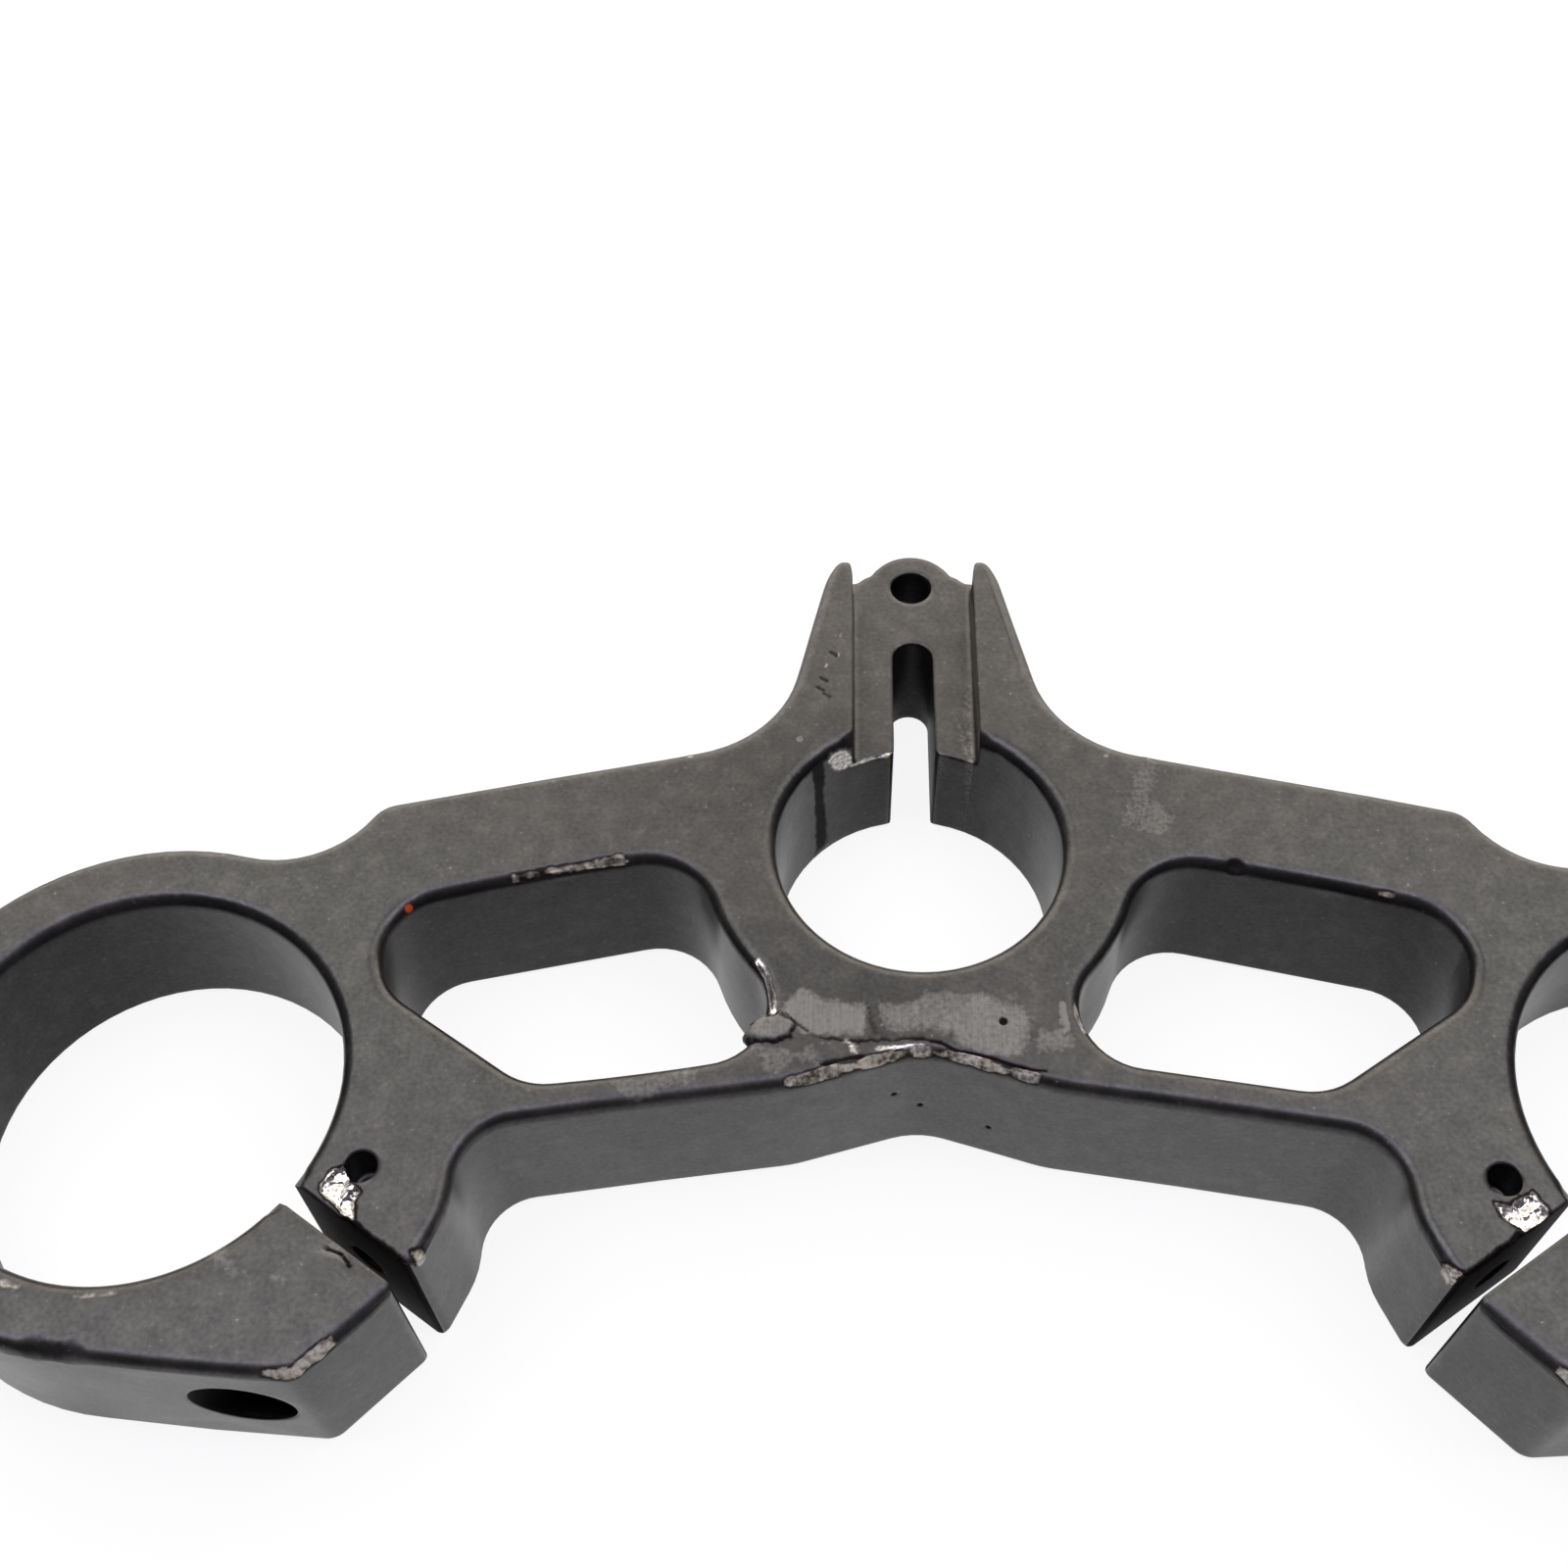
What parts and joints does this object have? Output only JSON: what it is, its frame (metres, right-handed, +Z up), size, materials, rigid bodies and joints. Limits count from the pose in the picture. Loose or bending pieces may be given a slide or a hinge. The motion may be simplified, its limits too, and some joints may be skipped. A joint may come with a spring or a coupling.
{
  "type": "motorcycle triple clamp",
  "caption": "Cast triple clamp plate with a central stem bore, split fork clamps at both ends, windows in the arms and a channelled nose behind the stem.",
  "frame": {"origin": "on the steering stem's axis, in the plane of the underside", "axes": "+Z up along the stem, the forks ahead of the stem towards -Y, +X to the right as seen from the forks' side in the picture"},
  "size_m": [0.2568, 0.1246, 0.0235],
  "materials": {
    "painted_casting": "satin black paint on cast aluminium, chipped to bare metal along edges"
  },
  "bodies": {
    "root": {"triple_clamp": "painted_casting"}
  },
  "joints": []
}
